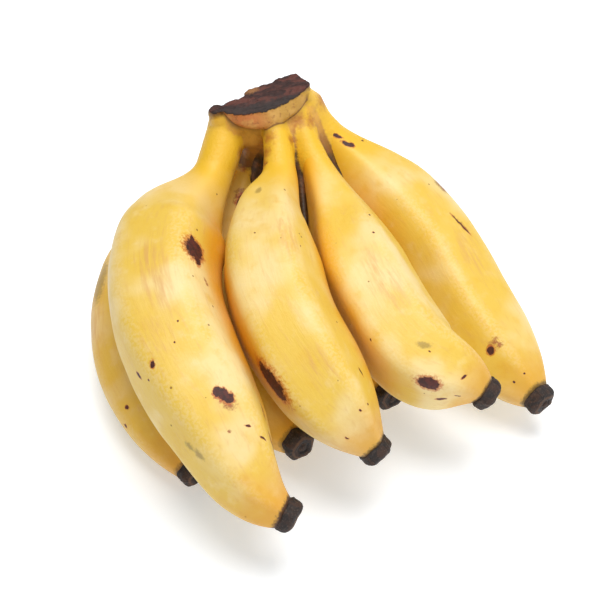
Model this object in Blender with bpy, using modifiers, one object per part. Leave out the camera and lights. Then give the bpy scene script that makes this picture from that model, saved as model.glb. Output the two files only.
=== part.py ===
# A part-hand of seven plump bananas that still hang on one crown, lying on its lower row.
#
# Four bananas make the upper row and three the lower row. Their necks sit in sockets of the
# crown, and each banana ends in the dried remnant of its flower. The two rows splay out from
# the crown and bend towards +X, and the lower row rests on the surface with small flats,
# where the soft peel is pressed by the weight of the bunch.
#
# Metres, +Z up. The origin is on the surface, under the middle of the bunch.

import math

import bmesh
import bpy
from mathutils import Matrix, Vector

MM = 0.001

# Bananas: centre line through six stations (mm, measured from the plumb line of the crown),
# where the tip heads (mm per whole length), belly and neck diameters (mm), the shares of the
# length where the neck ends and where the belly is full, how late the belly tapers to the tip,
# and the turn of the ridges (degrees).
STATIONS = (0.0, 0.12, 0.28, 0.50, 0.75, 1.0)
BANANAS = {
    "banana_upper_1": dict(
        spine=((-12, 1, 73), (-17.5, -17, 62), (-30.5, -41, 56), (-33, -78, 56), (-15, -119, 46), (10, -149, 28)),
        nose=(155, -50, -42), belly=41.5, neck=15.4, neck_end=0.10, full=0.34, taper=2.7, turn=20),
    "banana_upper_2": dict(
        spine=((6, -6, 76), (8, -22, 68), (4, -44, 65), (7, -75, 58), (21, -104, 48), (41, -123, 31)),
        nose=(98, -62, -88), belly=36.5, neck=10.8, neck_end=0.04, full=0.46, taper=4.0, turn=16),
    "banana_upper_3": dict(
        spine=((16, -2, 75), (22, -16, 66), (31, -35, 56), (42, -64, 50), (58, -92, 44), (81, -102, 36.5)),
        nose=(100, -45, -60), belly=34.5, neck=9.2, neck_end=0.04, full=0.46, taper=4.2, turn=18),
    "banana_upper_4": dict(
        spine=((20, 7, 77), (28, 2.5, 63.5), (44.5, -8, 48.5), (66, -29, 36), (83.5, -60.5, 24), (103.5, -90, 18)),
        nose=(92, -112, -12), belly=35.5, neck=9.4, neck_end=0.04, full=0.38, taper=4.4, turn=-16),
    "banana_lower_1": dict(
        spine=((-10.5, 8, 62), (-19, 3, 48), (-34.5, -11, 31), (-47, -42, 18.5), (-43, -84, 16), (-24, -119, 13)),
        nose=(106, -126, -13), belly=36.0, neck=9.4, neck_end=0.10, full=0.46, taper=2.4, turn=0),
    "banana_lower_2": dict(
        spine=((0, 6, 62), (-5, -1, 48), (-9.5, -17, 34), (-10, -46, 18.5), (-3, -79, 14.5), (14, -110, 17)),
        nose=(88, -120, 23), belly=31.5, neck=9.4, neck_end=0.09, full=0.46, taper=3.5, turn=0),
    "banana_lower_3": dict(
        spine=((10.5, 8, 63), (12.5, 2, 50), (16, -9, 35), (22, -32, 18), (33, -59, 14.5), (48, -86, 16)),
        nose=(68, -108, 16), belly=31.5, neck=9.4, neck_end=0.08, full=0.38, taper=3.5, turn=0),
}
TIP_RADIUS = 6.0        # where the peel meets the dried flower end
BANANA_RINGS = 25
BANANA_SIDES = 20
RIDGES = 5              # a banana has five blunt ridges
RIDGE_DEPTH = 0.035     # share of the radius between ridge and face

# Dried flower ends: a blunt stub, given as (share of its length, radius in mm).
STUB_LENGTH = 5.5
STUB_RINGS = ((0.0, 5.7), (0.25, 6.2), (0.60, 6.0), (0.85, 5.3), (1.0, 4.1))
STUB_SIDES = 15
STUB_RIDGE_DEPTH = 0.10

# Crown: a soft block below its cut face.
CROWN_CENTRE = (1.5, 0.0, 86.0)     # middle of the cut face, mm
CROWN_SIZE = (46.0, 19.0, 34.0)     # cage; the smoothed solid is about 8 % smaller
CROWN_FOOT = (0.86, 1.05)           # the foot's size as shares of the cut face
CROWN_FOOT_SHIFT = 4.0              # the foot stands this far back, mm
CROWN_TURN = 10.0                   # degrees about +Z
CROWN_RISE = 7.0                    # degrees, the +X end stands higher
CROWN_TILT = 8.0                    # degrees, the back edge stands higher
CROWN_SMOOTHING = 3

GAP = 0.35              # clearance of a neck in its socket and of a stub on its tip, mm
SOCKET_REACH = 0.16     # share of a banana's length that its socket cutter follows

PEEL = dict(color=(0.90, 0.66, 0.13), roughness=0.5)
CROWN_SKIN = dict(color=(0.30, 0.17, 0.07), roughness=0.8)
DRIED_FLOWER = dict(color=(0.06, 0.04, 0.03), roughness=0.85)


def clear_scene():
    for thing in list(bpy.data.objects):
        bpy.data.objects.remove(thing, do_unlink=True)


def new_collection(name):
    group = bpy.data.collections.new(name)
    bpy.context.scene.collection.children.link(group)
    return group


def new_material(name, color, roughness):
    material = bpy.data.materials.new(name)
    material.use_nodes = True
    shader = material.node_tree.nodes["Principled BSDF"]
    shader.inputs["Base Color"].default_value = (*color, 1.0)
    shader.inputs["Roughness"].default_value = roughness
    shader.inputs["Metallic"].default_value = 0.0
    return material


def smooth_step(value):
    value = min(max(value, 0.0), 1.0)
    return value * value * (3.0 - 2.0 * value)


def station_slopes(points, nose):
    """Slope of the centre line at each station, in mm per whole length."""
    steps = [b - a for a, b in zip(STATIONS, STATIONS[1:])]
    chords = [(b - a) / step for a, b, step in zip(points, points[1:], steps)]
    slopes = [None] * len(points)
    for i in range(1, len(points) - 1):
        before, after = steps[i - 1], steps[i]
        slopes[i] = (chords[i - 1] * after + chords[i] * before) / (before + after)
    slopes[0] = 2.0 * chords[0] - slopes[1]
    slopes[-1] = Vector(nose)
    return slopes


def centre_point(banana, share):
    """Point of the smooth centre line at a share of its length, in mm."""
    points = [Vector(point) for point in banana["spine"]]
    slopes = station_slopes(points, banana["nose"])
    i = 0
    while i < len(STATIONS) - 2 and share > STATIONS[i + 1]:
        i += 1
    step = STATIONS[i + 1] - STATIONS[i]
    s = (share - STATIONS[i]) / step
    return (points[i] * (2 * s**3 - 3 * s**2 + 1) + slopes[i] * step * (s**3 - 2 * s**2 + s)
            + points[i + 1] * (3 * s**2 - 2 * s**3) + slopes[i + 1] * step * (s**3 - s**2))


def banana_radius(banana, share):
    """Neck, shoulder and belly, then the taper to the tip, in mm."""
    belly = banana["belly"] / 2
    if share < 0.5:
        neck = banana["neck"] / 2
        swell = (share - banana["neck_end"]) / (banana["full"] - banana["neck_end"])
        return neck + (belly - neck) * smooth_step(swell)
    late = (share - 0.5) / 0.5
    return TIP_RADIUS + (belly - TIP_RADIUS) * (1.0 - late ** banana["taper"])


def section_curve(name, sides, depth, turn, group):
    """Closed five-ridged outline of unit radius, the section that tubes follow."""
    curve = bpy.data.curves.new(name, "CURVE")
    curve.dimensions = "2D"
    curve.fill_mode = "NONE"
    outline = curve.splines.new("POLY")
    outline.points.add(sides - 1)
    outline.use_cyclic_u = True
    for i, point in enumerate(outline.points):
        angle = 2 * math.pi * i / sides
        radius = 1.0 - depth * 0.5 * (1.0 - math.cos(RIDGES * angle))
        angle += math.radians(turn)
        point.co = (radius * math.sin(angle), radius * math.cos(angle), 0.0, 1.0)
    guide = bpy.data.objects.new(name, curve)
    guide.hide_render = True
    guide.display_type = "WIRE"
    group.objects.link(guide)
    return guide


def tube(name, points, radii, section, group):
    """Closed mesh of a section swept along points, both in mm."""
    curve = bpy.data.curves.new(name, "CURVE")
    curve.dimensions = "3D"
    curve.twist_mode = "Z_UP"
    curve.bevel_mode = "OBJECT"
    curve.bevel_object = section
    curve.use_fill_caps = True
    line = curve.splines.new("POLY")
    line.points.add(len(points) - 1)
    for knot, point, radius in zip(line.points, points, radii):
        knot.co = (*(point * MM), 1.0)
        knot.radius = radius * MM
    swept = bpy.data.objects.new(name + "_sweep", curve)
    bpy.context.scene.collection.objects.link(swept)
    evaluated = swept.evaluated_get(bpy.context.evaluated_depsgraph_get())
    mesh = bpy.data.meshes.new_from_object(evaluated)
    mesh.name = name
    bpy.data.objects.remove(swept, do_unlink=True)
    bpy.data.curves.remove(curve)

    shape = bmesh.new()
    shape.from_mesh(mesh)
    bmesh.ops.remove_doubles(shape, verts=shape.verts, dist=0.00001)
    bmesh.ops.recalc_face_normals(shape, faces=shape.faces)
    shape.to_mesh(mesh)
    shape.free()
    piece = bpy.data.objects.new(name, mesh)
    group.objects.link(piece)
    return piece


def press_flat(mesh):
    """Cut away what would reach below the surface, and close the cut with a flat."""
    shape = bmesh.new()
    shape.from_mesh(mesh)
    everything = list(shape.verts) + list(shape.edges) + list(shape.faces)
    bmesh.ops.bisect_plane(shape, geom=everything, dist=0.000001, plane_co=(0, 0, 0),
                           plane_no=(0, 0, 1), clear_inner=True)
    rim = [edge for edge in shape.edges if edge.is_boundary]
    if rim:
        bmesh.ops.holes_fill(shape, edges=rim, sides=0)
    bmesh.ops.recalc_face_normals(shape, faces=shape.faces)
    shape.to_mesh(mesh)
    shape.free()


def shade_round(mesh, sharp_angle):
    mesh.shade_smooth()
    mesh.set_sharp_from_angle(angle=math.radians(sharp_angle))


def build_banana(name, banana, group, guides, material):
    section = section_curve(name + "_section", BANANA_SIDES, RIDGE_DEPTH, banana["turn"], guides)
    shares = [i / (BANANA_RINGS - 1) for i in range(BANANA_RINGS)]
    points = [centre_point(banana, share) for share in shares]
    radii = [banana_radius(banana, share) for share in shares]
    fruit = tube(name, points, radii, section, group)
    press_flat(fruit.data)
    shade_round(fruit.data, 50)
    fruit.data.materials.append(material)
    return fruit


def build_stub(name, banana, group, guides, material):
    """Dried flower end, standing off the banana's tip by the gap, square to its last ring."""
    section = section_curve(name + "_section", STUB_SIDES, STUB_RIDGE_DEPTH, banana["turn"], guides)
    tip = centre_point(banana, 1.0)
    heading = (tip - centre_point(banana, 1.0 - 1.0 / (BANANA_RINGS - 1))).normalized()
    points = [tip + heading * (GAP + share * STUB_LENGTH) for share, radius in STUB_RINGS]
    radii = [radius for share, radius in STUB_RINGS]
    stub = tube(name, points, radii, section, group)
    press_flat(stub.data)
    shade_round(stub.data, 40)
    stub.data.materials.append(material)
    return stub


def build_socket_cutter(name, banana, guides):
    """The banana's neck, fatter by the gap, to be cut out of the crown."""
    section = section_curve(name + "_section", BANANA_SIDES, 0.0, 0.0, guides)
    root = centre_point(banana, 0.0)
    back = (root - centre_point(banana, 0.02)).normalized() * GAP
    shares = [SOCKET_REACH * i / 6 for i in range(7)]
    points = [root + back] + [centre_point(banana, share) for share in shares[1:]]
    radii = [banana_radius(banana, share) + GAP for share in shares]
    cutter = tube(name, points, radii, section, guides)
    cutter.hide_render = True
    cutter.display_type = "WIRE"
    return cutter


def build_crown(cutters, group, material):
    """Soft block with a sharp cut face on top and a socket for each neck."""
    shape = bmesh.new()
    bmesh.ops.create_cube(shape, size=1.0)
    for vert in shape.verts:
        if vert.co.z < 0:
            vert.co.x *= CROWN_FOOT[0]
            vert.co.y = vert.co.y * CROWN_FOOT[1] + CROWN_FOOT_SHIFT / CROWN_SIZE[1]
        vert.co.z -= 0.5
        vert.co = Vector(a * b * MM for a, b in zip(vert.co, CROWN_SIZE))
    crease = shape.edges.layers.float.new("crease_edge")
    for edge in shape.edges:
        if all(vert.co.z > -0.000001 for vert in edge.verts):
            edge[crease] = 1.0
    mesh = bpy.data.meshes.new("crown")
    shape.to_mesh(mesh)
    shape.free()
    crown = bpy.data.objects.new("crown", mesh)
    group.objects.link(crown)
    crown.location = Vector(CROWN_CENTRE) * MM
    crown.rotation_euler = (
        Matrix.Rotation(math.radians(CROWN_TURN), 3, "Z")
        @ Matrix.Rotation(-math.radians(CROWN_RISE), 3, "Y")
        @ Matrix.Rotation(math.radians(CROWN_TILT), 3, "X")).to_euler()

    smoothing = crown.modifiers.new("smoothing", "SUBSURF")
    smoothing.levels = CROWN_SMOOTHING
    smoothing.render_levels = CROWN_SMOOTHING
    for cutter in cutters:
        socket = crown.modifiers.new("socket_" + cutter.name, "BOOLEAN")
        socket.operation = "DIFFERENCE"
        socket.solver = "EXACT"
        socket.object = cutter
    mesh.materials.append(material)
    mesh.shade_smooth()
    return crown


def centre_over_origin(pieces, guides):
    """Hang everything on one empty, moved so that the bunch stands over the origin."""
    bpy.context.view_layer.update()
    graph = bpy.context.evaluated_depsgraph_get()
    corners = []
    for piece in pieces:
        mesh = piece.evaluated_get(graph).to_mesh()
        corners += [piece.matrix_world @ vert.co for vert in mesh.vertices]
    middle_x = (min(c.x for c in corners) + max(c.x for c in corners)) / 2
    middle_y = (min(c.y for c in corners) + max(c.y for c in corners)) / 2
    bunch = bpy.data.objects.new("bunch", None)
    bpy.context.scene.collection.objects.link(bunch)
    for thing in pieces + guides:
        thing.parent = bunch
    bunch.location = (-middle_x, -middle_y, 0.0)


def main():
    clear_scene()
    group = new_collection("bunch_of_bananas")
    guides = new_collection("cutters")
    peel = new_material("peel", **PEEL)
    crown_skin = new_material("crown_skin", **CROWN_SKIN)
    dried = new_material("dried_flower", **DRIED_FLOWER)

    pieces = []
    cutters = []
    for name, banana in BANANAS.items():
        pieces.append(build_banana(name, banana, group, guides, peel))
        stub_name = name.replace("banana", "flower_end")
        pieces.append(build_stub(stub_name, banana, group, guides, dried))
        cutters.append(build_socket_cutter("socket_" + name, banana, guides))
    pieces.append(build_crown(cutters, group, crown_skin))
    centre_over_origin(pieces, list(guides.objects))
    bpy.context.view_layer.update()
    print("pieces:", len(pieces))


main()
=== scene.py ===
import math

import bmesh
import bpy
import numpy as np
from mathutils import Matrix, Vector


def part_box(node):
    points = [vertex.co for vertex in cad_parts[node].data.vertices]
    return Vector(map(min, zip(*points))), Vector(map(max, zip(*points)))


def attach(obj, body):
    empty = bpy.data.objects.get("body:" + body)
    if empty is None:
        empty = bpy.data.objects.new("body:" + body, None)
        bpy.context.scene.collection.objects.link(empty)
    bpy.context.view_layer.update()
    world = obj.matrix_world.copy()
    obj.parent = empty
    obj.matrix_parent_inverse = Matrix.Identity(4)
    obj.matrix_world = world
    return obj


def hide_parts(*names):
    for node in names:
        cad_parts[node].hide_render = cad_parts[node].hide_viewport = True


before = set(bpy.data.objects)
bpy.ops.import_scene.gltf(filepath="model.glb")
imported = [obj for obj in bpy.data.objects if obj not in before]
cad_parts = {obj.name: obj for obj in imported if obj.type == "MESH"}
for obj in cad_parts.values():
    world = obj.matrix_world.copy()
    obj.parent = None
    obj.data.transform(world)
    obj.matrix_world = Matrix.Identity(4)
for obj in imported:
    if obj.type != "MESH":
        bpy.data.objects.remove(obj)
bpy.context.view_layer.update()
mm = 0.001

# A hand of seven plump bananas on one crown. Everything below is worked out in mm around the
# crown's plumb line, and placed at the end by where the CAD bananas stand.

# ---- the shape of each banana
# spine: centre line through the six stations; nose: where the tip heads; ridgeTurn: where one of
# the five ridges runs, in degrees from the top line, at the shares 0.2, 0.6 and 1.0; edge: how
# clearly the ridges show
stations = np.array([0.0, 0.12, 0.28, 0.50, 0.75, 1.0])
bananas = {
    "upper_1": dict(
        spine=((-12, 1, 73), (-17.5, -17, 62), (-30.5, -41, 56),
               (-33, -78, 56), (-15, -119, 46), (10, -149, 28)),
        nose=(155, -50, -42), belly=41.5, neck=15.4, neckEnd=0.10, full=0.34, taper=2.7,
        ridgeTurn=(20, 20, 44), edge=5.6),
    "upper_2": dict(
        spine=((6, -6, 76), (8, -22, 68), (4, -44, 65),
               (7, -75, 58), (21, -104, 48), (41, -123, 31)),
        nose=(98, -62, -88), belly=36.5, neck=10.8, neckEnd=0.04, full=0.46, taper=4.0,
        ridgeTurn=(24, 18, -4), edge=7.5),
    "upper_3": dict(
        spine=((16, -2, 75), (22, -16, 66), (31, -35, 56),
               (42, -64, 50), (58, -92, 44), (81, -102, 36.5)),
        nose=(100, -45, -60), belly=34.5, neck=9.2, neckEnd=0.04, full=0.46, taper=4.2,
        ridgeTurn=(24, 20, 12), edge=7.5),
    "upper_4": dict(
        spine=((20, 7, 77), (28, 2.5, 63.5), (44.5, -8, 48.5),
               (66, -29, 36), (83.5, -60.5, 24), (103.5, -90, 18)),
        nose=(92, -112, -12), belly=35.5, neck=9.4, neckEnd=0.04, full=0.38, taper=4.4,
        ridgeTurn=(-22, -16, -12), edge=6.5),
    "lower_1": dict(
        spine=((-10.5, 8, 62), (-19, 3, 48), (-34.5, -11, 31),
               (-47, -42, 18.5), (-43, -84, 16), (-24, -119, 13)),
        nose=(106, -126, -13), belly=34.8, neck=9.4, neckEnd=0.10, full=0.46, taper=2.4,
        ridgeTurn=(0, 0, 0), edge=5.5),
    "lower_2": dict(
        spine=((0, 6, 62), (-5, -1, 48), (-9.5, -17, 34),
               (-10, -46, 18.5), (-3, -79, 14.5), (14, -110, 17)),
        nose=(88, -120, 23), belly=31.5, neck=9.4, neckEnd=0.09, full=0.46, taper=3.5,
        ridgeTurn=(0, 0, 0), edge=5.5),
    "lower_3": dict(
        spine=((10.5, 8, 63), (12.5, 2, 50), (16, -9, 35),
               (22, -32, 18), (33, -59, 14.5), (48, -86, 16)),
        nose=(68, -108, 16), belly=31.5, neck=9.4, neckEnd=0.08, full=0.38, taper=3.5,
        ridgeTurn=(0, 0, 0), edge=5.5),
}
tipRadius = 6.0
upAxis = np.array([0.0, 0.0, 1.0])

def smooth(value, low=0.0, high=1.0):
    value = np.clip((value - low) / (high - low), 0.0, 1.0)
    return value * value * (3.0 - 2.0 * value)

def softNoise(points, cell, seed):
    # smooth noise between -1 and 1 with bumps about one cell wide
    grid = points / cell + seed * 17.31
    base = np.floor(grid).astype(np.int64)
    part = grid - base
    fade = part * part * (3.0 - 2.0 * part)
    total = np.zeros(points.shape[:-1])
    for corner in np.ndindex(2, 2, 2):
        place = base + corner
        key = (place[..., 0] * 73856093) ^ (place[..., 1] * 19349663) ^ (place[..., 2] * 83492791)
        key = (key ^ (key >> 13)) * 1274126177
        weight = np.prod(np.where(corner, fade, 1.0 - fade), axis=-1)
        total += weight * (((key >> 9) & 65535) / 32767.5 - 1.0)
    return total

def unit(vectors):
    return vectors / np.linalg.norm(vectors, axis=-1, keepdims=True)

def centreLine(banana, share):
    # smooth line through the stations, at any shares of the length
    points = np.array(banana["spine"], float)
    steps = np.diff(stations)[:, None]
    chords = np.diff(points, axis=0) / steps
    slopes = np.empty_like(points)
    slopes[1:-1] = (chords[:-1] * steps[1:] + chords[1:] * steps[:-1]) / (steps[:-1] + steps[1:])
    slopes[0] = 2 * chords[0] - slopes[1]
    slopes[-1] = banana["nose"]
    share = np.asarray(share, float)
    span = np.clip(np.searchsorted(stations, share) - 1, 0, len(steps) - 1)
    step = steps[span]
    s = (share[..., None] - stations[span][..., None]) / step
    return (points[span] * (2 * s**3 - 3 * s**2 + 1) + slopes[span] * step * (s**3 - 2 * s**2 + s)
            + points[span + 1] * (3 * s**2 - 2 * s**3) + slopes[span + 1] * step * (s**3 - s**2))

def halfGirth(banana, share):
    # neck, shoulder and belly, then the taper to the tip
    belly, neck = banana["belly"] / 2, banana["neck"] / 2
    early = neck + (belly - neck) * smooth(share, banana["neckEnd"], banana["full"])
    late = np.clip((share - 0.5) / 0.5, 0.0, 1.0)
    return np.where(share < 0.5, early, tipRadius + (belly - tipRadius) * (1.0 - late ** banana["taper"]))

def alongFrame(banana, share):
    # heading, the direction nearest to up, and the direction across
    heading = unit(centreLine(banana, share + 0.002) - centreLine(banana, share - 0.002))
    up = unit(upAxis - heading * heading[..., 2:3])
    return heading, up, np.cross(up, heading)

def ridgedSection(angle, turn, edge):
    # five soft faces that meet in five blunt ridges; the mean radius stays just under 1
    def reach(turned):
        faces = (np.clip(np.cos(turned - math.radians(36 + 72 * k)), 0, None) ** edge for k in range(5))
        return sum(faces) ** (-1 / edge)

    oneFace = np.radians(np.arange(0, 72, 3.0))
    return 0.995 * reach(angle - turn) / np.mean(reach(oneFace))

def arcLength(banana, share):
    fine = np.linspace(0, 1, 401)
    steps = np.linalg.norm(np.diff(centreLine(banana, fine), axis=0), axis=1)
    return np.interp(share, fine, np.concatenate(([0.0], np.cumsum(steps))))

def ridgeAngle(banana, share):
    return np.radians(np.interp(share, (0.2, 0.6, 1.0), banana["ridgeTurn"]))

# ---- from arrays to objects
def placeOfBunch():
    # how far the plumb line stands from the origin: compare the bananas' boxes with their centre lines
    angle = np.linspace(0, 2 * math.pi, 61)[None, :]
    share = np.linspace(0, 1, 61)[:, None]
    offsets = []
    for name, banana in bananas.items():
        low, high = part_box("banana_" + name)
        own = tubeGrid(banana, share, angle, lumps=0.0).reshape(-1, 3)
        offsets.append((np.array(low) + np.array(high)) / 2 / mm - (own.min(0) + own.max(0)) / 2)
    place = np.median(offsets, axis=0)
    place[2] = 0.0
    return place

def tubeGrid(banana, share, angle, lumps):
    heading, up, across = alongFrame(banana, share)
    turn = ridgeAngle(banana, share)
    rounded = ridgedSection(angle, turn, banana["edge"])
    calm = 1 - smooth(share, 0.06, 0.24)      # the neck is nearly round
    radius = halfGirth(banana, share) * (rounded + (0.99 - rounded) * calm)
    outward = up * np.cos(angle)[..., None] + across * np.sin(angle)[..., None]
    points = centreLine(banana, share) + outward * radius[..., None]
    if lumps:
        seed = banana["belly"] + banana["spine"][0][0]
        wave = 0.65 * softNoise(points, 19.0, seed) + 0.35 * softNoise(points, 8.0, seed + 3)
        points = points + outward * ((wave - 0.6) * lumps * (1 - 0.7 * calm))[..., None]
    points[..., 2] = np.maximum(points[..., 2], 0.0)      # pressed flat where it lies on the floor
    return points

def gridFaces(rings, sides):
    ring, side = np.meshgrid(np.arange(rings - 1), np.arange(sides), indexing="ij")
    after = (side + 1) % sides
    lower, upper = ring * sides, (ring + 1) * sides
    corners = (lower + side, lower + after, upper + after, upper + side)
    return np.stack(corners, axis=-1).reshape(-1, 4).tolist()

def makeMesh(name, points, faces, masks):
    mesh = bpy.data.meshes.new(name)
    mesh.from_pydata((points + bunchPlace) * mm, [], faces)
    for label, values in masks.items():
        if values.ndim == 2:
            layer = mesh.attributes.new(label, "FLOAT_VECTOR", "POINT")
            layer.data.foreach_set("vector", values.astype(np.float32).ravel())
        else:
            layer = mesh.attributes.new(label, "FLOAT", "POINT")
            layer.data.foreach_set("value", values.astype(np.float32).ravel())
    shape = bmesh.new()
    shape.from_mesh(mesh)
    bmesh.ops.recalc_face_normals(shape, faces=shape.faces)
    shape.to_mesh(mesh)
    shape.free()
    mesh.shade_smooth()
    return mesh

def showPiece(name, mesh, material, node):
    mesh.materials.append(material)
    piece = bpy.data.objects.new(name, mesh)
    bpy.context.scene.collection.objects.link(piece)
    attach(piece, "root")
    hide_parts(node)
    return piece

# ---- node helpers
def feed(tree, socket, value):
    if isinstance(value, bpy.types.NodeSocket):
        tree.links.new(value, socket)
    elif value is not None:
        socket.default_value = value

def addNode(tree, kind, sockets=None, **settings):
    node = tree.nodes.new("ShaderNode" + kind)
    for key, value in settings.items():
        setattr(node, key, value)
    for key, value in (sockets or {}).items():
        feed(tree, node.inputs[key], value)
    return node

def calc(tree, operation, first, second=None):
    sockets = {i: value for i, value in enumerate((first, second)) if value is not None}
    return addNode(tree, "Math", sockets, operation=operation).outputs[0]

def times(tree, first, second):
    return calc(tree, "MULTIPLY", first, second)

def plus(tree, first, second):
    return calc(tree, "ADD", first, second)

def minus(tree, first, second):
    return calc(tree, "SUBTRACT", first, second)

def vectorCalc(tree, operation, first, second=None, output=0):
    sockets = {i: value for i, value in enumerate((first, second)) if value is not None}
    return addNode(tree, "VectorMath", sockets, operation=operation).outputs[output]

def scaled(tree, vector, factor):
    sockets = {"Vector": vector, "Scale": factor}
    return addNode(tree, "VectorMath", sockets, operation="SCALE").outputs[0]

def rise(tree, value, low, high, bottom=0.0, top=1.0):
    # soft step from bottom to top while the value goes from low to high
    sockets = {"Value": value, "From Min": low, "From Max": high, "To Min": bottom, "To Max": top}
    return addNode(tree, "MapRange", sockets, interpolation_type="SMOOTHSTEP").outputs["Result"]

def tint(tree, factor, first, second):
    # sockets 6 and 7 of the mix node are its two colors
    sockets = {"Factor": factor, 6: first, 7: second}
    return addNode(tree, "Mix", sockets, data_type="RGBA").outputs[2]

def cloud(tree, vector, scale, detail=3.0, rough=0.5, warp=0.0):
    sockets = {"Vector": vector, "Scale": scale, "Detail": detail, "Roughness": rough, "Distortion": warp}
    return addNode(tree, "TexNoise", sockets)

def readMask(tree, label, output="Fac"):
    return addNode(tree, "Attribute", attribute_name=label).outputs[output]

def centimetres(tree):
    place = addNode(tree, "TexCoord").outputs["Object"]
    return scaled(tree, place, 100.0)

def color(red, green, blue):
    # written as the usual 0 to 255 screen values, turned into linear light
    levels = (red / 255, green / 255, blue / 255)
    return (*(c / 12.92 if c <= 0.04 else ((c + 0.055) / 1.055) ** 2.4 for c in levels), 1.0)

def newGroup(name, takes, gives):
    tree = bpy.data.node_groups.new(name, "ShaderNodeTree")
    kinds = {"color": "NodeSocketColor", "vector": "NodeSocketVector", "value": "NodeSocketFloat"}
    for label, kind in takes.items():
        tree.interface.new_socket(label, in_out="INPUT", socket_type=kinds[kind])
    for label, kind in gives.items():
        tree.interface.new_socket(label, in_out="OUTPUT", socket_type=kinds[kind])
    entry = tree.nodes.new("NodeGroupInput").outputs
    leave = tree.nodes.new("NodeGroupOutput").inputs
    return tree, entry, leave

def useGroup(tree, group, sockets):
    node = tree.nodes.new("ShaderNodeGroup")
    node.node_tree = group
    for key, value in sockets.items():
        feed(tree, node.inputs[key], value)
    return node.outputs

def newMaterial(name):
    material = bpy.data.materials.new(name)
    material.use_nodes = True
    tree = material.node_tree
    return material, tree, tree.nodes["Principled BSDF"]

def finishSurface(tree, shader, skin, rough, height, depth, strength=1.0):
    bump = addNode(tree, "Bump", {"Height": height, "Strength": strength, "Distance": depth})
    feed(tree, shader.inputs["Base Color"], skin)
    feed(tree, shader.inputs["Roughness"], rough)
    feed(tree, shader.inputs["Normal"], bump.outputs[0])

# ---- groups that the peel, the crown and the flower ends share
ripe = dict(
    pale=color(235, 211, 148), mid=color(226, 190, 78), deep=color(221, 174, 42), neck=color(226, 176, 10),
    tan=color(212, 146, 30), cream=color(236, 214, 160), blush=color(208, 156, 96), brown=color(110, 64, 32),
    # gapShadeAmber is painted shade and bounce light for the gaps between the fingers
    gapShadeAmber=color(226, 158, 4), border=color(60, 32, 18), roughness=0.48)
spotFinish = dict(
    core=color(52, 20, 16), centre=color(88, 32, 22), fringe=color(184, 84, 28), rust=color(146, 70, 34),
    olive=color(112, 86, 26))

def buildRipeSkin():
    # the yellow skin itself: mottling, saturated neck, tan tip, paler ridges, faint blush and specks, and
    # painted shade in deep amber where a neighbour is close
    tree, entry, leave = newGroup(
        "ripeSkin",
        dict(Place="vector", Straight="vector", Along="value", Ridge="value", Bruise="value", Streaks="value",
             GapShade="value"),
        dict(Color="color", Roughness="value", Height="value"))
    wide = cloud(tree, entry["Place"], 0.42, 2.0).outputs["Fac"]
    patch = cloud(tree, entry["Place"], 1.5, 4.0, 0.55).outputs["Fac"]
    grain = cloud(tree, entry["Place"], 9.0, 4.0, 0.6).outputs["Fac"]
    stretched = vectorCalc(tree, "MULTIPLY", entry["Straight"], (1.0, 1.0, 0.16))
    streak = cloud(tree, stretched, 6.5, 4.0, 0.62, 0.3).outputs["Fac"]

    skin = tint(tree, rise(tree, wide, 0.40, 0.66), ripe["mid"], ripe["pale"])
    skin = tint(tree, rise(tree, patch, 0.52, 0.78, 0.0, 0.45), skin, ripe["deep"])
    skin = tint(tree, rise(tree, patch, 0.46, 0.24, 0.0, 0.4), skin, ripe["cream"])
    streakAmount = times(tree, rise(tree, streak, 0.50, 0.80), entry["Streaks"])
    skin = tint(tree, times(tree, streakAmount, 0.40), skin, ripe["blush"])
    crest = times(tree, rise(tree, entry["Ridge"], 0.55, 1.0), rise(tree, grain, 0.40, 0.62))
    skin = tint(tree, times(tree, crest, 0.35), skin, ripe["cream"])

    neck = rise(tree, entry["Along"], 0.34, 0.10)
    skin = tint(tree, times(tree, neck, 0.80), skin, ripe["neck"])

    bruise = times(tree, rise(tree, entry["Bruise"], 1.1, 0.2), rise(tree, streak, 0.36, 0.64))
    skin = tint(tree, times(tree, bruise, 0.55), skin, ripe["blush"])

    # painted shade: deep amber where a neighbouring banana is close, standing in for the shade and warm
    # bounce light between the fingers
    gapShadeAmount = rise(tree, plus(tree, entry["GapShade"], times(tree, patch, 0.2)), 0.25, 1.1)
    skin = tint(tree, times(tree, gapShadeAmount, 0.7), skin, ripe["gapShadeAmber"])

    # scattered brown specks, about one in a square centimetre where they come
    cells = addNode(tree, "TexVoronoi", {"Vector": entry["Place"], "Scale": 1.6, "Randomness": 1.0})
    chance = addNode(tree, "SeparateColor", {0: cells.outputs["Color"]}).outputs
    size = rise(tree, chance[0], 0.55, 1.0, 0.0, 0.075)
    speck = rise(tree, minus(tree, cells.outputs["Distance"], size), 0.02, -0.01)
    speck = times(tree, speck, calc(tree, "GREATER_THAN", chance[0], 0.62))
    skin = tint(tree, times(tree, speck, 0.75), skin, ripe["brown"])

    # the tip turns tan, with a thin dark border at the dried flower
    tip = rise(tree, plus(tree, entry["Along"], times(tree, patch, 0.10)), 0.91, 1.05)
    skin = tint(tree, times(tree, tip, 0.75), skin, ripe["tan"])
    border = rise(tree, plus(tree, entry["Along"], times(tree, grain, 0.016)), 0.996, 1.006)
    skin = tint(tree, border, skin, ripe["border"])

    feed(tree, leave["Color"], skin)
    rough = plus(tree, rise(tree, grain, 0.3, 0.7, -0.05, 0.06), ripe["roughness"])
    feed(tree, leave["Roughness"], plus(tree, rough, times(tree, speck, 0.2)))
    fibre = times(tree, times(tree, streak, entry["Streaks"]), 0.8)
    height = plus(tree, times(tree, grain, 0.5), fibre)
    feed(tree, leave["Height"], minus(tree, height, times(tree, speck, 0.4)))
    return tree

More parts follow.
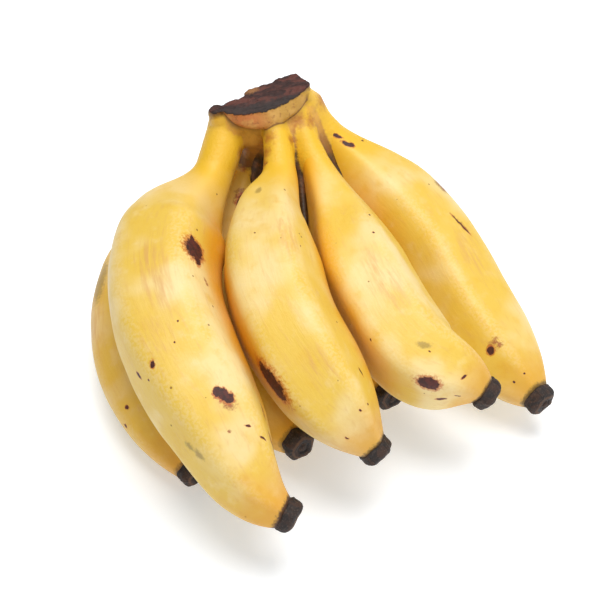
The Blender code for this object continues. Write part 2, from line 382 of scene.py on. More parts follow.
def buildSpotReach():
    # 0 in the middle of a spot, 1 on its edge; the spot is a turned ellipsoid
    tree, entry, leave = newGroup(
        "spotReach",
        dict(Place="vector", Middle="vector", Turn="vector", Size="vector"),
        dict(Distance="value"))
    sockets = {"Vector": entry["Place"], "Location": entry["Middle"], "Rotation": entry["Turn"],
               "Scale": entry["Size"]}
    local = addNode(tree, "Mapping", sockets, vector_type="TEXTURE").outputs[0]
    feed(tree, leave["Distance"], vectorCalc(tree, "LENGTH", local, output="Value"))
    return tree

def buildRipeMarks():
    # dark spots with a rusty fringe, rust blotches and olive smudges laid over the skin
    tree, entry, leave = newGroup(
        "ripeMarks",
        dict(Color="color", Roughness="value", Height="value", Place="vector", Dark="value", Rust="value",
             Olive="value"),
        dict(Color="color", Roughness="value", Height="value"))
    ragged = minus(tree, cloud(tree, entry["Place"], 9.0, 5.0, 0.65).outputs["Fac"], 0.5)
    broken = cloud(tree, entry["Place"], 5.0, 5.0, 0.7, 0.5).outputs["Fac"]
    dark = plus(tree, entry["Dark"], times(tree, ragged, 0.9))
    core = rise(tree, dark, 1.08, 0.86)
    fringe = rise(tree, plus(tree, dark, times(tree, ragged, 0.9)), 1.5, 1.05)
    rust = plus(tree, entry["Rust"], times(tree, ragged, 1.5))
    rustMask = times(tree, rise(tree, rust, 1.15, 0.55), rise(tree, broken, 0.38, 0.56))
    olive = rise(tree, plus(tree, entry["Olive"], times(tree, ragged, 1.4)), 1.2, 0.4)

    skin = tint(tree, times(tree, olive, 0.55), entry["Color"], spotFinish["olive"])
    skin = tint(tree, times(tree, rustMask, 0.85), skin, spotFinish["rust"])
    skin = tint(tree, times(tree, fringe, 0.70), skin, spotFinish["fringe"])
    inner = tint(tree, rise(tree, broken, 0.35, 0.65), spotFinish["core"], spotFinish["centre"])
    skin = tint(tree, core, skin, inner)
    feed(tree, leave["Color"], skin)
    feed(tree, leave["Roughness"], plus(tree, entry["Roughness"], times(tree, core, 0.12)))
    feed(tree, leave["Height"], minus(tree, entry["Height"], times(tree, core, 0.5)))
    return tree

def buildDriedFibre():
    # dark dried tissue: fibres, crust and pale scuffs
    tree, entry, leave = newGroup(
        "driedFibre",
        dict(Place="vector", Dark="color", Warm="color", Ash="color", Wear="value"),
        dict(Color="color", Roughness="value", Height="value"))
    crust = cloud(tree, entry["Place"], 3.2, 6.0, 0.6, 0.8).outputs["Fac"]
    fine = cloud(tree, entry["Place"], 16.0, 4.0, 0.6).outputs["Fac"]
    skin = tint(tree, rise(tree, crust, 0.42, 0.60), entry["Dark"], entry["Warm"])
    ash = times(tree, rise(tree, fine, 0.50, 0.72), entry["Wear"])
    skin = tint(tree, ash, skin, entry["Ash"])
    feed(tree, leave["Color"], skin)
    feed(tree, leave["Roughness"], rise(tree, crust, 0.3, 0.7, 0.62, 0.86))
    feed(tree, leave["Height"], plus(tree, crust, times(tree, fine, 0.35)))
    return tree

ripeSkin = buildRipeSkin()
spotReach = buildSpotReach()
ripeMarks = buildRipeMarks()
driedFibre = buildDriedFibre()
print("groups ready:", len(bpy.data.node_groups))

def nearestSpot(tree, place, spots):
    # the smallest distance to any of the spots; far away when there are none
    nearest = None
    for middle, turn, size in spots:
        reach = useGroup(tree, spotReach, {"Place": place, "Middle": middle, "Turn": turn, "Size": size})[0]
        nearest = reach if nearest is None else calc(tree, "MINIMUM", nearest, reach)
    return 9.0 if nearest is None else nearest

# ---- the peels
def gapShadeOf(points, name):
    # closeness of the neighbours, for the painted shade between the fingers: 1 where a neighbour touches the
    # peel, 0 from 14 mm away
    share = np.linspace(0.1, 1.0, 37)
    closest = np.full(points.shape[:-1], 99.0)
    for other, banana in bananas.items():
        if other != name:
            line, radius = centreLine(banana, share), halfGirth(banana, share)
            for point, reach in zip(line, radius):
                closest = np.minimum(closest, np.linalg.norm(points - point, axis=-1) - reach)
    return 1.0 - smooth(closest, 0.0, 14.0)

# lip: size and step forward in mm of the rings that roll the peel in at its tip
peelMesh = dict(
    rings=170, sides=96, firstShare=0.06, lumps=0.35, lip=((0.93, 0.25), (0.80, 0.1), (0.60, -1.2)))

# marks on each banana: share of the length, degrees from the top line, width and length in mm,
# and the lean of the long way in degrees
peelMarks = {
    "upper_1": dict(
        dark=((0.440, 37, 8.6, 9.5, 12), (0.424, 34, 3.0, 7.0, 10), (0.460, 40, 3.4, 7.0, 14),
              (0.655, -44, 1.8, 2.6, -30), (0.648, -70, 1.5, 2.8, 20), (0.670, -58, 0.9, 1.0, 0),
              (0.640, -14, 0.8, 0.8, 0), (0.610, -2, 0.7, 0.8, 0), (0.875, 70, 2.4, 10.0, 0),
              (0.820, 18, 0.7, 2.0, 60), (0.850, 32, 0.7, 2.6, 50), (0.52, 170, 3.0, 5.0, 0),
              (0.750, 0, 3.0, 2.8, 30), (0.758, 4.5, 3.8, 3.4, 20), (0.767, 9, 3.4, 3.0, 10),
              (0.30, -130, 2.0, 4.0, 10)),
        rust=((0.755, 2, 5.6, 5.6, 30), (0.772, 8, 5.6, 5.6, 20), (0.800, 64, 3.4, 7.0, 0),
              (0.850, 60, 4.0, 7.0, 0), (0.815, -6, 1.6, 1.6, 0), (0.515, 50, 2.0, 5.0, 20)),
        olive=((0.805, -62, 3.4, 5.0, 30), (0.826, -56, 3.6, 5.0, 10), (0.06, -30, 7.0, 6.0, 0)),
        bruise=((0.50, -8, 14, 40, 0), (0.62, -28, 16, 18, 0))),
    "upper_2": dict(
        dark=((0.725, -76, 8.4, 14.5, 0), (0.822, 40, 1.0, 3.2, 0), (0.385, 42, 0.6, 0.7, 0),
              (0.430, 36, 0.5, 0.6, 0), (0.385, -18, 0.6, 0.6, 0), (0.900, -6, 0.8, 0.9, 0),
              (0.900, 12, 0.9, 0.9, 0), (0.930, -54, 0.8, 1.2, 0)),
        rust=((0.10, -60, 4.0, 6.0, 0), (0.16, -66, 3.0, 6.0, 0)),
        olive=((0.25, -20, 3.0, 4.0, 0),),
        bruise=((0.76, -12, 14, 18, 0), (0.40, 20, 10, 30, 0))),
    "upper_3": dict(
        dark=((0.832, -62, 4.8, 5.6, 0), (0.880, -88, 1.2, 3.4, 30), (0.925, -72, 0.6, 4.0, 10),
              (0.915, -36, 0.8, 2.2, 60), (0.350, 24, 0.7, 0.8, 0), (0.420, 14, 0.6, 0.7, 0),
              (0.795, -22, 0.7, 0.9, 0), (0.675, -58, 0.7, 0.7, 0)),
        rust=(),
        olive=((0.770, -18, 3.0, 6.0, 30),),
        bruise=((0.55, 0, 14, 36, 0),)),
    "upper_4": dict(
        dark=((0.118, -22, 1.5, 4.6, 25), (0.152, -17, 1.8, 5.6, 25), (0.160, -13, 2.0, 3.6, 10),
              (0.180, 28, 0.8, 0.9, 0), (0.862, -34, 3.4, 3.0, 0), (0.520, 30, 0.8, 9.0, 18),
              (0.955, -44, 0.8, 0.9, 0), (0.960, -14, 0.7, 0.8, 0)),
        rust=((0.410, 50, 4.0, 9.0, 0), (0.520, 31, 2.4, 10.0, 18), (0.858, -22, 6.0, 5.0, 0),
              (0.035, 78, 5.0, 9.0, 0), (0.085, 84, 4.0, 8.0, 0)),
        olive=((0.410, 48, 5.0, 8.0, 0),),
        bruise=((0.60, 20, 14, 30, 0),)),
    "lower_1": dict(
        dark=((0.825, -50, 1.5, 1.6, 0), (0.850, -74, 1.3, 1.5, 0), (0.55, -110, 3.0, 6.0, 20)),
        rust=((0.35, -90, 5.0, 9.0, 0),),
        olive=((0.50, -60, 8.0, 20.0, 0),),
        bruise=((0.6, -60, 14, 40, 0),)),
    "lower_2": dict(
        dark=((0.45, 60, 2.0, 4.0, 0), (0.22, 20, 5.0, 8.0, 0), (0.30, 40, 4.0, 9.0, 20)),
        rust=((0.20, 10, 6.0, 9.0, 0), (0.32, 30, 6.0, 12.0, 0)),
        olive=(),
        bruise=((0.6, 0, 14, 40, 0),)),
    "lower_3": dict(
        dark=((0.60, 80, 2.4, 5.0, 10), (0.35, 120, 1.5, 2.0, 0)),
        rust=((0.50, 100, 4.0, 8.0, 0),),
        olive=(),
        bruise=((0.6, 90, 12, 30, 0),)),
}
peelTints = {      # how much each banana leans to tan, and to deep yellow
    "upper_1": (0.06, 0.00), "upper_2": (0.00, 0.15), "upper_3": (0.00, 0.10), "upper_4": (0.00, 0.22),
    "lower_1": (0.30, 0.10), "lower_2": (0.25, 0.30), "lower_3": (0.15, 0.30)}

def markPlaces(banana, marks):
    # from share, angle and size to a place, turn and size in the straightened banana, in cm
    places = []
    for share, degrees, wide, long, lean in marks:
        angle = math.radians(degrees)
        radius = float(halfGirth(banana, np.array(share))) / 10
        middle = (radius * math.cos(angle), radius * math.sin(angle), float(arcLength(banana, share)) / 10)
        places.append((middle, (-math.radians(lean), 0.0, angle), (wide / 20 + 0.05, wide / 20, long / 20)))
    return places

def peelMaterial(name, banana):
    material, tree, shader = newMaterial("peel_" + name)
    marks = peelMarks[name]
    straight = readMask(tree, "straight", "Vector")
    wobble = cloud(tree, straight, 4.0, 3.0).outputs["Color"]
    wobble = scaled(tree, vectorCalc(tree, "SUBTRACT", wobble, (0.5, 0.5, 0.5)), 0.16)
    shifted = vectorCalc(tree, "ADD", straight, wobble)
    place = centimetres(tree)
    reach = {kind: nearestSpot(tree, shifted, markPlaces(banana, marks[kind])) for kind in marks}
    skin = useGroup(tree, ripeSkin, {
        "Place": place, "Straight": straight, "Bruise": reach["bruise"],
        "Along": readMask(tree, "along"), "Ridge": readMask(tree, "ridge"),
        "Streaks": readMask(tree, "streaks"), "GapShade": readMask(tree, "gapShade")})
    tan, deep = peelTints[name]
    leaning = readMask(tree, "streaks")      # the tints leave the neck alone
    shade = tint(tree, times(tree, leaning, tan), skin["Color"], ripe["tan"])
    shade = tint(tree, times(tree, leaning, deep), shade, ripe["deep"])
    marked = useGroup(tree, ripeMarks, {
        "Color": shade, "Roughness": skin["Roughness"], "Height": skin["Height"], "Place": place,
        "Dark": reach["dark"], "Rust": reach["rust"], "Olive": reach["olive"]})
    finishSurface(tree, shader, marked["Color"], marked["Roughness"], marked["Height"], 0.00025, 0.6)
    return material

def buildPeel(name, banana):
    rings, sides = peelMesh["rings"], peelMesh["sides"]
    share = np.linspace(peelMesh["firstShare"], 1.0, rings)[:, None]
    angle = (np.arange(sides) * 2 * math.pi / sides - math.pi)[None, :]
    points = tubeGrid(banana, share, angle, peelMesh["lumps"])
    radius = halfGirth(banana, share) / 10
    length = arcLength(banana, share) / 10
    straight = np.stack((radius * np.cos(angle), radius * np.sin(angle), length + 0 * angle), axis=-1)
    ridge = 0.5 + 0.5 * np.cos(5 * (angle - ridgeAngle(banana, share)))
    along = share + 0 * angle
    # how close the neighbours are, for the painted amber shade between the fingers
    gapShade = gapShadeOf(points, name)

    # a rolled lip at the tip and a plain end in the crown
    middle = points[-1].mean(0)
    forward = unit(middle - points[-2].mean(0))
    lip = [middle + (points[-1] - middle) * size + forward * step for size, step in peelMesh["lip"]]

    def withLip(values, more=0.0):
        return np.concatenate((values, np.repeat(values[-1:] + more, len(lip), axis=0)), axis=0)

    points = np.concatenate((points, np.array(lip)), axis=0)
    straight, ridge, gapShade = withLip(straight), withLip(ridge), withLip(gapShade)
    along = withLip(along, 0.01)
    count = points.shape[0]
    faces = gridFaces(count, sides)
    faces.append(list(range(sides)))
    faces.append(list(range((count - 1) * sides, count * sides)))
    masks = dict(straight=straight.reshape(-1, 3), ridge=(ridge * smooth(along, 0.15, 0.4)).ravel(),
                 along=along.ravel(), streaks=smooth(along, 0.16, 0.36).ravel(), gapShade=gapShade.ravel())
    mesh = makeMesh("peel_" + name, points.reshape(-1, 3), faces, masks)
    showPiece("peel_" + name, mesh, peelMaterial(name, banana), "banana_" + name)

bunchPlace = placeOfBunch()
for name, banana in bananas.items():
    buildPeel(name, banana)
print("peels ready, the plumb line stands at", [round(float(v), 2) for v in bunchPlace])

# ---- the dried flower ends
flowerEnd = dict(
    length=5.4, sides=72, edge=6.5,
    # share of the length, radius in mm: root in the peel, flared rim, sides, blunt end, scar
    profile=((-0.25, 5.0), (-0.02, 5.5), (0.06, 5.9), (0.15, 6.1), (0.28, 5.95), (0.45, 6.0), (0.62, 5.9),
             (0.78, 5.55), (0.90, 4.9), (0.98, 4.0), (1.00, 3.2), (0.955, 2.6), (0.88, 2.1), (0.89, 1.5),
             (0.98, 1.1), (1.00, 0.5)),
    foldsFrom=(0.152, 1.14), highlightRimFrom=5.0,     # mm from the tip of the peel
    # grooveShade is painted shade in the folds and the scar ring; rim is a painted highlight on the end's
    # rounded rim
    dark=color(30, 20, 17), warm=color(60, 41, 32), ash=color(100, 84, 72), grooveShade=color(22, 14, 12),
    rim=color(120, 84, 56))

def flowerMaterial():
    material, tree, shader = newMaterial("driedFlower")
    place = centimetres(tree)
    grooveShade = readMask(tree, "grooveShade")
    fibre = useGroup(tree, driedFibre, {
        "Place": place, "Dark": flowerEnd["dark"], "Warm": flowerEnd["warm"], "Ash": flowerEnd["ash"],
        "Wear": 0.45})
    # painted shade: darkest in the carved folds and the sunken scar ring at the end
    grooveShaded = times(tree, rise(tree, grooveShade, 0.35, 0.0), 0.75)
    skin = tint(tree, grooveShaded, fibre["Color"], flowerEnd["grooveShade"])
    # painted highlight: lighter brown on the rounded rim of the blunt end
    rim = rise(tree, readMask(tree, "rim"), 0.4, 1.0)
    skin = tint(tree, times(tree, rim, 0.35), skin, flowerEnd["rim"])
    finishSurface(tree, shader, skin, fibre["Roughness"], fibre["Height"], 0.0004, 0.8)
    return material

driedFlower = flowerMaterial()

def buildFlowerEnd(name, banana, seed):
    profile = np.array(flowerEnd["profile"])
    knots = np.linspace(0, 1, len(profile))
    fine = np.linspace(0, 1, 46)
    height = np.interp(fine, knots, profile[:, 0])[:, None] * flowerEnd["length"]
    radius = np.interp(fine, knots, profile[:, 1])[:, None]
    sides = flowerEnd["sides"]
    angle = (np.arange(sides) * 2 * math.pi / sides)[None, :]
    heading, up, across = (v[0] for v in alongFrame(banana, np.array([0.985])))
    turn = float(ridgeAngle(banana, 1.0))
    section = ridgedSection(angle, turn, flowerEnd["edge"]) * 1.02
    outward = up * np.cos(angle)[..., None] + across * np.sin(angle)[..., None]
    tip = centreLine(banana, np.array([1.0]))[0]
    points = tip + heading * height[..., None] + outward * (radius * section)[..., None]
    folds = np.abs(np.sin(2.5 * (angle - turn) + 0.6 * softNoise(outward * 4, 2.0, seed)))
    onSide = smooth(height, *flowerEnd["foldsFrom"]) * (1 - smooth(radius, 4.5, 3.0))
    rough = 0.22 * softNoise(points, 1.6, seed) + 0.30 * softNoise(points, 3.6, seed + 5)
    points = points + outward * (rough - 0.35 * (1 - smooth(folds, 0.0, 0.35)) * onSide)[..., None]
    points = points + heading * (0.35 * softNoise(points, 2.4, seed + 9))[..., None]
    points[..., 2] = np.maximum(points[..., 2], 0.0)
    rings = points.shape[0]
    faces = gridFaces(rings, sides)
    faces.append(list(range(sides)))
    faces.append(list(range((rings - 1) * sides, rings * sides)))
    scar = smooth(np.abs(radius - 2.3), 0.1, 0.8) + 0 * angle
    # where the painted shade goes: the folds on the sides and the sunken scar ring
    grooveShade = np.where(onSide > 0.3, smooth(folds, 0.0, 0.4), scar)
    # painted highlight band on the rounded rim of the blunt end
    rim = np.exp(-((radius - 4.2) / 0.8) ** 2) * (height > flowerEnd["highlightRimFrom"]) + 0 * angle
    masks = dict(grooveShade=grooveShade.ravel(), rim=rim.ravel())
    mesh = makeMesh("flowerEnd_" + name, points.reshape(-1, 3), faces, masks)
    showPiece("flowerEnd_" + name, mesh, driedFlower, "flower_end_" + name)

for seed, (name, banana) in enumerate(bananas.items()):
    buildFlowerEnd(name, banana, seed + 1)
print("flower ends ready")

# ---- the crown: a cut pad that grows into the seven necks
crown = dict(
    middle=(1.5, 0.0, 86.0), turn=10, rise=7, tilt=8,
    # the cut face, in mm from its middle along its long way and across it
    outline=((-20.8, 0.3), (-12.3, 1.2), (-7.4, 2.8), (-4.6, 5.2), (0.6, 6.6), (8.4, 8.2), (13.6, 8.8),
             (16.6, 6.0), (19.0, 2.0), (15.0, -0.9), (8.2, -3.8), (0.4, -6.1), (-7.4, -5.6), (-13.7, -3.6),
             (-18.6, -1.3)),
    lipMiddle=1.6, lipHalf=16.9, lipDepth=6.4, backDepth=20.0, flare=4.2,
    # the skin over the necks: how round it blends, how far down it reaches and where it sinks in
    blend=1.1, voxel=0.55, reach=0.15, sinkFrom=0.085, cover=0.10, sink=1.6)
crownTones = dict(
    web=color(204, 146, 62), webCreviceShade=color(44, 20, 5), webBlotch=color(140, 84, 38), stain=color(160, 84, 30),
    lipLeft=color(186, 112, 54), lipRight=color(184, 140, 58), lipPale=color(202, 156, 80),
    # under and crease are painted shade below the lip
    lipBrown=color(132, 78, 34), under=color(120, 82, 34), crease=color(92, 50, 24), rim=color(112, 74, 36),
    cutDark=color(54, 30, 27), cutWarm=color(94, 50, 41), cutAsh=color(102, 78, 70),
    cutFront=color(50, 44, 43), cutTan=color(150, 104, 60), cutHollow=color(28, 18, 16))
# where each neck reaches the pad: x, y, z and radius in mm
neckRoots = {
    "upper_1": (-16.0, -2.4, 80.4, 3.0), "upper_2": (4.4, 2.4, 80.6, 3.6), "upper_3": (12.5, 3.0, 81.0, 3.8),
    "upper_4": (17.0, 5.4, 82.0, 4.0), "lower_1": (-9.0, 2.5, 77.0, 3.4), "lower_2": (0.0, 2.5, 79.5, 4.0),
    "lower_3": (9.0, 4.5, 81.5, 4.0)}
# how some necks start beside their centre lines: x, y, z and radius in mm
neckStarts = {
    "upper_1": (-0.9, -2.0, -0.8, -0.9), "upper_2": (0.0, 0.8, 0.0, -0.8), "upper_3": (0.0, 0.6, 0.0, -0.3)}
# brown webs that join neighbouring necks below the pad: how soon they darken with painted crevice shade, and
# then x, y, z and radius in mm at points along them
webs = (
    (0.1, ((-9.0, -1.0, 80.5, 3.8), (-8.5, -3.5, 76.0, 4.2))),
    (0.5, ((-2.0, -2.5, 76.0, 5.0), (-2.3, -4.0, 70.0, 4.6), (-2.6, -1.5, 64.0, 4.2), (-3.2, 0.5, 58.0, 4.2),
           (-4.5, 0.8, 51.0, 4.0))),
    (2.6, ((3.0, -2.0, 68.0, 4.0), (1.2, -3.5, 58.0, 2.8), (-0.4, -5.5, 50.0, 2.4),
           (-2.2, -11.0, 43.0, 2.0), (-3.0, -17.0, 38.0, 1.2))),
    (2.2, ((12.0, -2.0, 76.0, 3.4), (14.5, -12.0, 66.5, 2.3), (16.5, -22.5, 59.0, 1.9),
           (17.6, -33.0, 52.5, 1.6), (18.2, -42.0, 46.0, 1.0))),
    (0.9, ((17.5, 2.0, 76.0, 4.0), (22.8, -3.5, 67.0, 2.8), (29.0, -9.0, 58.5, 1.9),
           (35.0, -15.0, 52.5, 1.2))),
)
turned = (Matrix.Rotation(math.radians(crown["turn"]), 3, "Z")
          @ Matrix.Rotation(-math.radians(crown["rise"]), 3, "Y")
          @ Matrix.Rotation(math.radians(crown["tilt"]), 3, "X"))
crownAxes = np.array(turned)      # columns: along the cut face, across it, out of it
crownMiddle = np.array(crown["middle"])

def closedCurve(points, count):
    # rounded closed line through the points
    points = np.array(points, float)
    share = np.linspace(0, len(points), count, endpoint=False)
    i = np.floor(share).astype(int)
    s = (share - i)[:, None]
    p0, p1, p2, p3 = (points[(i + k) % len(points)] for k in (-1, 0, 1, 2))
    return 0.5 * (2 * p1 + (p2 - p0) * s + (2 * p0 - 5 * p1 + 4 * p2 - p3) * s**2
                  + (3 * p1 - p0 - 3 * p2 + p3) * s**3)

cutOutline = closedCurve(crown["outline"], 75)

def outlineDistance(x, y):
    # mm outside the cut face's outline, negative inside
    point = np.stack((x, y), axis=-1)[:, None, :]
    start, end = cutOutline[None], np.roll(cutOutline, -1, axis=0)[None]
    step = end - start
    t = np.clip(((point - start) * step).sum(-1) / (step * step).sum(-1), 0, 1)
    gap = np.sqrt((((start + t[..., None] * step) - point) ** 2).sum(-1)).min(-1)
    crosses = (start[..., 1] > point[..., 1]) != (end[..., 1] > point[..., 1])
    safe = np.where(np.abs(step[..., 1]) < 1e-9, 1e-9, step[..., 1])
    where = start[..., 0] + (point[..., 1] - start[..., 1]) / safe * step[..., 0]
    inside = (crosses & (point[..., 0] < where)).sum(-1) % 2 == 1
    return np.where(inside, -gap, gap)

def softMax(a, b, width):
    mix = np.clip(0.5 + 0.5 * (a - b) / width, 0, 1)
    return b + (a - b) * mix + width * mix * (1 - mix)

def softMin(gaps, width):
    return -width * np.log(np.exp(-np.clip(gaps, -20, 20) / width).sum(0))

def neckLines():
    shares = np.linspace(0.0, crown["reach"], 10)
    for name, banana in bananas.items():
        late = np.clip((shares - crown["sinkFrom"]) / (crown["reach"] - crown["sinkFrom"]), 0, None)
        radius = halfGirth(banana, shares) * 0.99 + crown["cover"] - crown["sink"] * late**2
        root = np.array(neckRoots[name])
        moved = (1 - smooth(shares, 0.0, 0.05))[:, None] * np.array(neckStarts.get(name, (0, 0, 0, 0)))
        radius = radius + moved[:, 3]
        spine = np.vstack((root[:3], centreLine(banana, shares) + moved[:, :3]))
        yield np.concatenate(([-0.08], shares)), spine, np.concatenate((root[3:], radius))

def webLines():
    for dark, points in webs:
        line = np.array(points)
        yield np.linspace(0, 1, len(line)), line[:, :3], line[:, 3]

necks = list(neckLines())
webTubes = list(webLines())

def tubeDistances(points, tubes):
    # distance to each tube, and how far along it the nearest place is
    gaps, alongs = [], []
    row = np.arange(len(points))
    for shares, spine, radius in tubes:
        start, step = spine[:-1][None], np.diff(spine, axis=0)[None]
        away = points[:, None, :] - start
        t = np.clip((away * step).sum(-1) / (step * step).sum(-1), 0, 1)
        gap = np.linalg.norm(away - t[..., None] * step, axis=-1) - (radius[:-1] + t * np.diff(radius))
        best = gap.argmin(1)
        gaps.append(gap[row, best])
        alongs.append(shares[best] + t[row, best] * np.diff(shares)[best])
    return np.array(gaps), np.array(alongs)

def lipShape(x, y, z):
    # how deep the pad reaches and how far it flares: a crescent lip in front, deep at the back
    front = smooth(y, 3.0, -3.0)
    crescent = np.sqrt(np.clip(1 - ((x - crown["lipMiddle"]) / crown["lipHalf"]) ** 2, 0, 1))
    depth = 0.6 + crown["lipDepth"] * crescent ** 0.8
    depth = depth + (crown["backDepth"] - depth) * (1 - front)
    flare = crown["flare"] * smooth(-z, 0.0, 5.5) * crescent * front
    flare = flare - 1.5 * (1 - front) * smooth(-z, 0, 14)
    return depth, flare, front

def padDistance(points):
    # the pad in its own axes, with the cut face on top
    local = (points - crownMiddle) @ crownAxes
    x, y, z = local.T
    depth, flare, front = lipShape(x, y, z)
    torn = 0.55 * softNoise(np.stack((x, y, z * 0.6), axis=-1), 2.6, 4) + 0.30 * softNoise(local, 1.2, 8)
    side = outlineDistance(x, y) - flare - torn * (1.3 - front) * (1 - smooth(-z, 2.0, 7.0))
    flat = np.stack((x * 0.45, y, z * 0), axis=-1)
    fibres = 0.45 * softNoise(flat, 1.3, 11) + 0.55 * softNoise(flat, 3.6, 12)
    fibres = fibres + 0.25 * softNoise(local, 0.9, 13)
    face = z + 0.25 - 0.85 * fibres
    body = softMax(side, -z - depth, 1.5)
    return softMax(body, face, 0.8), face, local

def crownDistance(points):
    # mm outside the crown, and what the masks need
    gaps, alongs = tubeDistances(points, necks)
    webGaps, webAlongs = tubeDistances(points, webTubes)
    pad, face, local = padDistance(points)
    neck = softMin(np.vstack((gaps, webGaps + 0.15)), crown["blend"])
    joined = softMin(np.stack((neck, pad)), 0.45)
    parts = dict(gaps=gaps, alongs=alongs, webGaps=webGaps, webAlongs=webAlongs, crease=pad - neck,
                 face=face, local=local)
    return softMax(joined, face, 0.8), parts

def addTubes(shape):
    # a closed tube of 20 sides around each neck and each web
    sides = 20
    angle = np.arange(sides) * 2 * math.pi / sides
    for shares, spine, radius in necks + webTubes:
        heading = unit(np.gradient(spine, axis=0))
        side = unit(np.cross(heading, np.array([0.3, 0.9, 0.1])))
        other = np.cross(heading, side)
        ring = side[:, None] * np.cos(angle)[None, :, None] + other[:, None] * np.sin(angle)[None, :, None]
        points = (spine[:, None] + ring * radius[:, None, None]).reshape(-1, 3)
        verts = [shape.verts.new(p) for p in points]
        for face in gridFaces(len(spine), sides):
            shape.faces.new([verts[i] for i in face])
        shape.faces.new(verts[:sides])
        shape.faces.new(verts[-sides:])

def addPad(shape):
    # rings down the pad's side, each as level between top and bottom and mm inside the surface
    x, y = cutOutline.T
    tangent = np.roll(cutOutline, -1, axis=0) - np.roll(cutOutline, 1, axis=0)
    outward = unit(np.column_stack((-tangent[:, 1], tangent[:, 0])))
    deepest = np.minimum(lipShape(x, y, 0 * x)[0], 9.0)
    rings = []
    for level, inside in ((0.0, 0.1), (0.25, 0.1), (0.5, 0.1), (0.75, 0.1), (0.95, 0.3), (0.97, 2.5)):
        z = -0.3 - (deepest - 0.3) * level
        flare = lipShape(x, y, z)[1] - inside
        local = np.column_stack((cutOutline + outward * flare[:, None], z))
        rings.append([shape.verts.new(p) for p in local @ crownAxes.T + crownMiddle])
    count = len(cutOutline)
    for upper, lower in zip(rings, rings[1:]):
        for i in range(count):
            shape.faces.new((upper[i], upper[(i + 1) % count], lower[(i + 1) % count], lower[i]))
    shape.faces.new(rings[0])
    shape.faces.new(rings[-1][::-1])

def crownStart():
    # rough closed solid around the pad and the necks, as one even mesh
    shape = bmesh.new()
    addTubes(shape)
    addPad(shape)
    bmesh.ops.recalc_face_normals(shape, faces=shape.faces)
    mesh = bpy.data.meshes.new("crownStart")
    shape.to_mesh(mesh)
    shape.free()
    start = bpy.data.objects.new("crownStart", mesh)
    bpy.context.scene.collection.objects.link(start)
    remesh = start.modifiers.new("even", "REMESH")
    remesh.mode = "VOXEL"
    remesh.voxel_size = crown["voxel"]
    even = bpy.data.meshes.new_from_object(start.evaluated_get(bpy.context.evaluated_depsgraph_get()))
    bpy.data.objects.remove(start, do_unlink=True)
    bpy.data.meshes.remove(mesh)
    return even

def settleOnSurface(points, edges, rounds):
    # relax the mesh and pull it onto the crown's surface
    counts = np.bincount(edges.ravel(), minlength=len(points))[:, None]
    for turnNumber in range(rounds):
        if turnNumber < rounds - 2:
            sums = np.zeros_like(points)
            np.add.at(sums, edges[:, 0], points[edges[:, 1]])
            np.add.at(sums, edges[:, 1], points[edges[:, 0]])
            points = points + 0.5 * (sums / counts - points)
        value = crownDistance(points)[0]
        steps = np.eye(3) * 0.05
        slope = np.stack([crownDistance(points + step)[0] - value for step in steps], axis=-1) / 0.05
        size = np.maximum((slope * slope).sum(-1), 0.2)
        points = points - slope * np.clip(value / size, -1.2, 1.2)[:, None]
    return points

def surfacePlace(name, share, degrees):
    # a point on a banana's skin, in cm
    banana = bananas[name]
    share, angle = np.array([share]), math.radians(degrees)
    heading, up, across = alongFrame(banana, share)
    outward = up * math.cos(angle) + across * math.sin(angle)
    point = centreLine(banana, share) + outward * halfGirth(banana, share)[:, None] + bunchPlace
    return tuple(float(v) / 10 for v in point[0])

# stains on the crown: banana, share, degrees from its top line, and size in mm
crownStains = (
    ("upper_2", 0.030, -42, 3.2), ("upper_2", 0.070, -60, 2.8), ("upper_2", 0.100, -66, 2.0),
    ("upper_2", 0.040, 70, 2.2), ("upper_2", 0.100, 84, 1.6), ("upper_3", 0.050, -84, 2.0),
    ("upper_3", 0.000, -20, 3.4), ("upper_3", 0.010, 40, 3.0), ("upper_3", 0.060, 76, 2.2),
    ("upper_4", 0.000, 20, 3.6), ("upper_4", 0.000, 88, 3.8), ("upper_4", 0.040, 92, 3.4),
    ("upper_4", 0.080, 94, 3.0), ("upper_4", 0.120, 92, 2.4), ("upper_1", 0.060, 84, 2.2),
    ("upper_1", 0.110, 88, 1.6), ("lower_2", 0.020, -30, 1.2), ("lower_2", 0.060, 20, 1.5),
    ("lower_2", 0.110, 0, 1.6))

